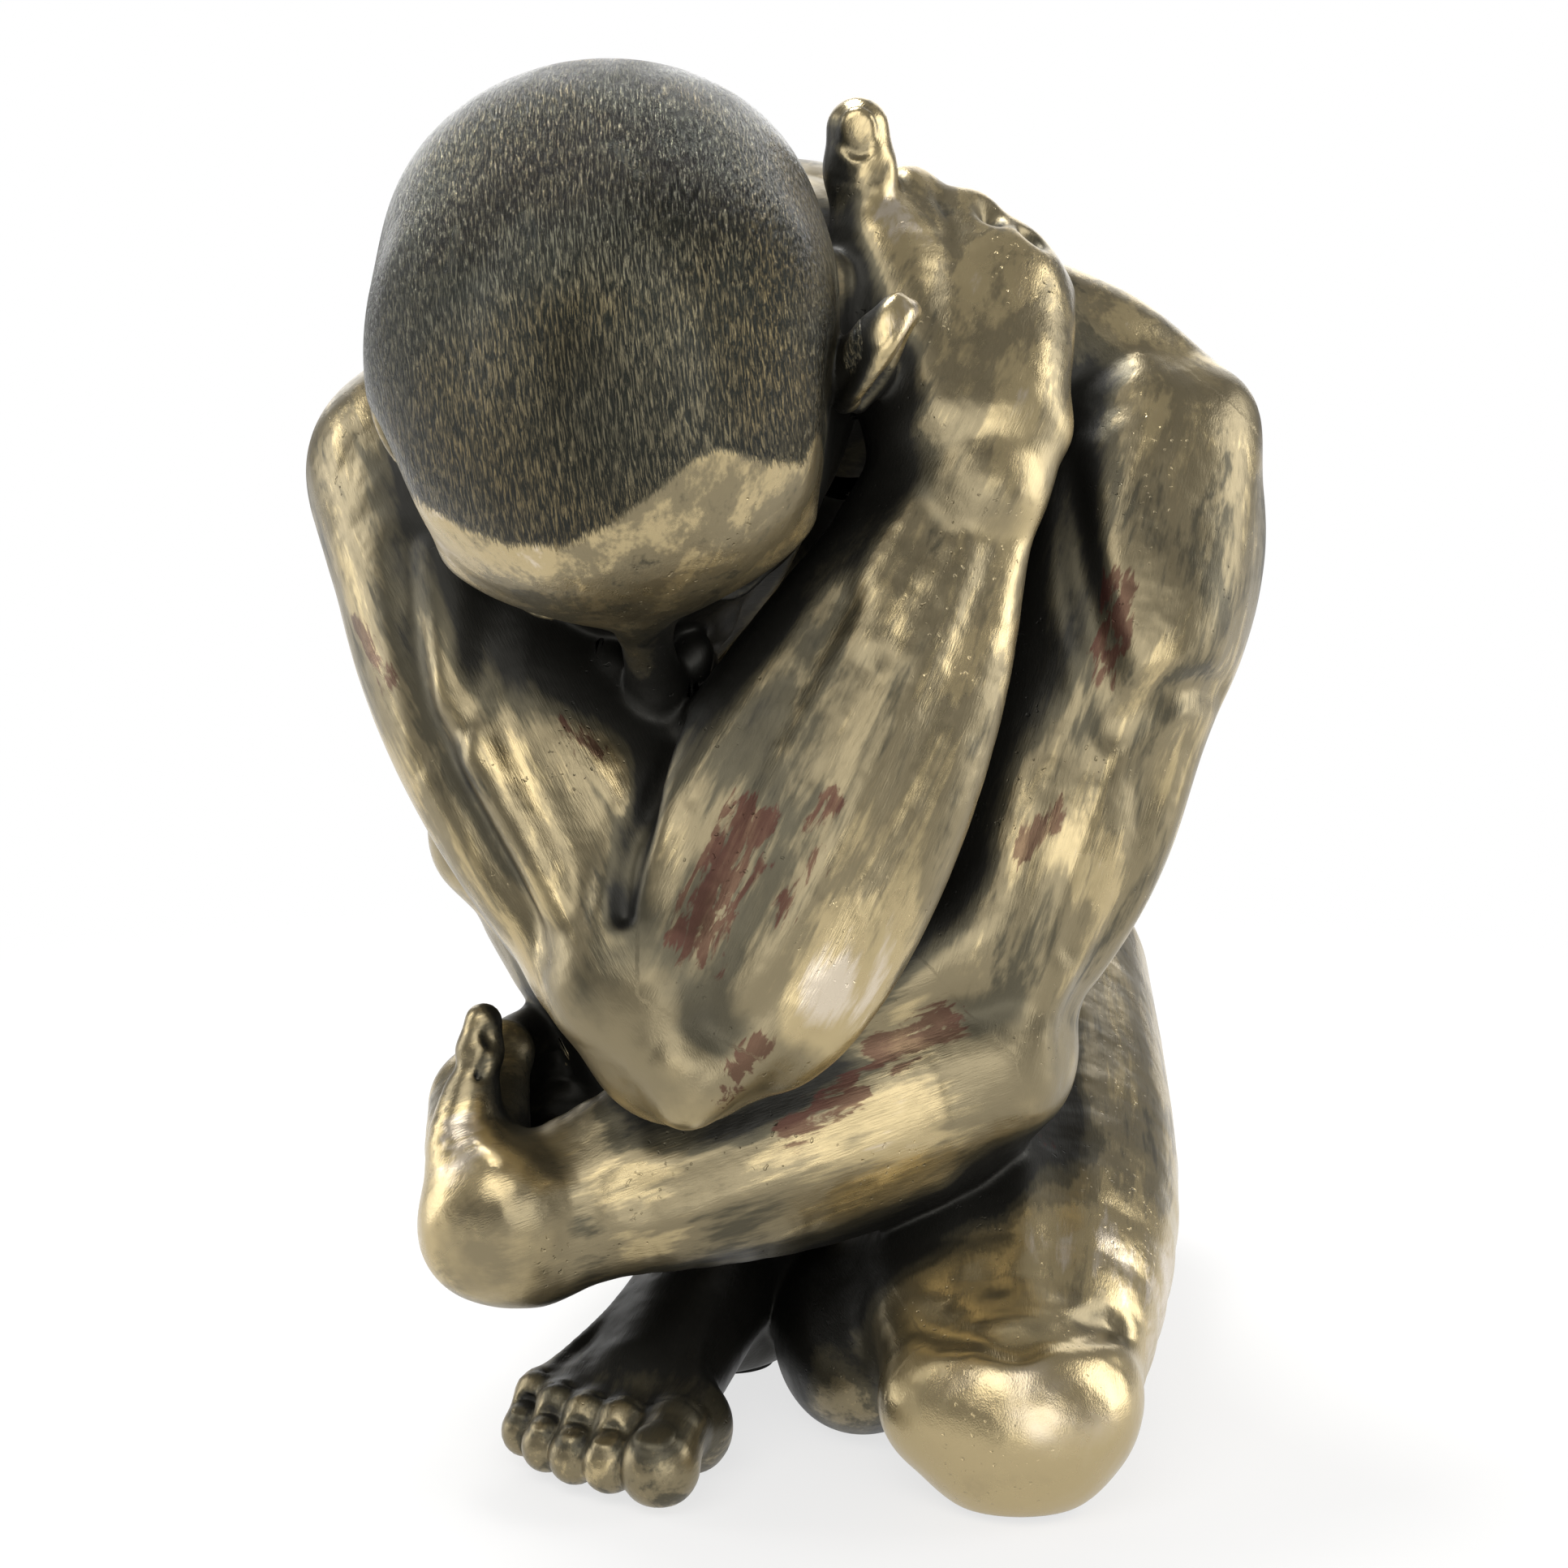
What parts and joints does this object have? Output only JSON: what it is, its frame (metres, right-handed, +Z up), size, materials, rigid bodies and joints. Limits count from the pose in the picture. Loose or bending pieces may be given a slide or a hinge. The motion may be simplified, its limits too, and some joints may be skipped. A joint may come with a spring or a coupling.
{
  "type": "crouching figure statue",
  "caption": "Crouching bronze figure of a man with bowed head who hugs his neck and shin, cast in sections that locate on pins, with felt pads.",
  "frame": {"origin": "on the shelf, under the middle of the figure's box", "axes": "+Z up, -Y the way the figure faces, +X its left side"},
  "size_m": [0.1742, 0.2187, 0.2405],
  "materials": {
    "bronze": "polished cold-cast bronze with a dark brown patina left in the hollows",
    "pin_steel": "turned steel",
    "felt": "dark felt"
  },
  "bodies": {
    "root": {"head_casting": "bronze", "torso_casting": "bronze", "right_arm_casting": "bronze", "right_hand_casting": "bronze", "left_arm_casting": "bronze", "left_hand_casting": "bronze", "right_leg_casting": "bronze", "right_foot_casting": "bronze", "left_leg_casting": "bronze", "left_foot_casting": "bronze", "neck_pin": "pin_steel", "left_shoulder_pin": "pin_steel", "right_shoulder_pin": "pin_steel", "left_wrist_pin": "pin_steel", "right_wrist_pin": "pin_steel", "left_hip_pin": "pin_steel", "right_hip_pin": "pin_steel", "left_ankle_pin": "pin_steel", "right_ankle_pin": "pin_steel", "right_ball_pad": "felt", "right_heel_pad": "felt", "left_knee_pad": "felt", "left_toe_pad": "felt"}
  },
  "joints": []
}
